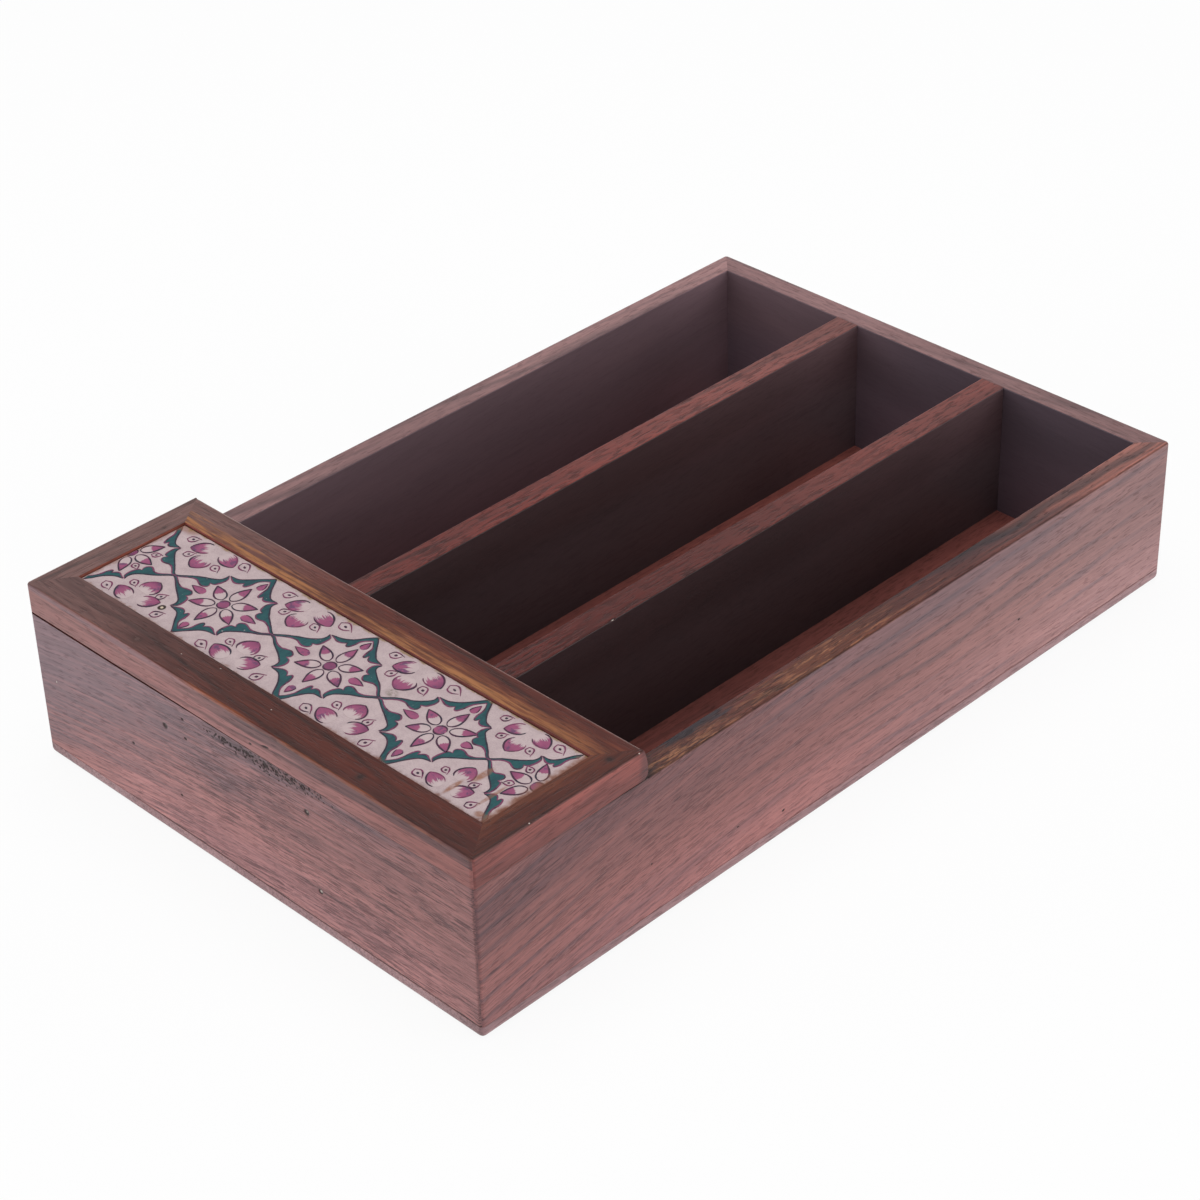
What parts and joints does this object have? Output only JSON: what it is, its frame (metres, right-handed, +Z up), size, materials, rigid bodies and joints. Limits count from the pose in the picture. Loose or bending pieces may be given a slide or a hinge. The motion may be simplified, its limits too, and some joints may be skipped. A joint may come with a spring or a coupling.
{
  "type": "cutlery stand",
  "caption": "Open hardwood cutlery tray with mitred walls, partitions for long compartments and a raised frame with an inlaid floral tile across the front end.",
  "frame": {"origin": "centre of the underside, on the surface that the tray stands on", "axes": "+Z up, +Y from the tiled front end to the back, +X to the right"},
  "size_m": [0.2074, 0.33, 0.0675],
  "materials": {
    "tray_wood": "oiled hardwood, satin",
    "base_wood": "oiled hardwood, satin",
    "frame_wood": "dark stained hardwood, satin",
    "backing_wood": "dark stained board, matt",
    "tile_glaze": "pale pink glaze with painted trellis",
    "pin_steel": "plain steel wire",
    "filler": "dark wood filler, matt"
  },
  "bodies": {
    "root": {"front_wall": "tray_wood", "back_wall": "tray_wood", "left_wall": "tray_wood", "right_wall": "tray_wood", "left_divider": "tray_wood", "right_divider": "tray_wood", "base_panel": "base_wood", "cover_front_rail": "frame_wood", "cover_back_rail": "frame_wood", "cover_left_stile": "frame_wood", "cover_right_stile": "frame_wood", "tile_backing": "backing_wood", "tile": "tile_glaze", "base_pins": "pin_steel", "cover_pins": "pin_steel", "cover_pin_fillers": "filler"}
  },
  "joints": []
}
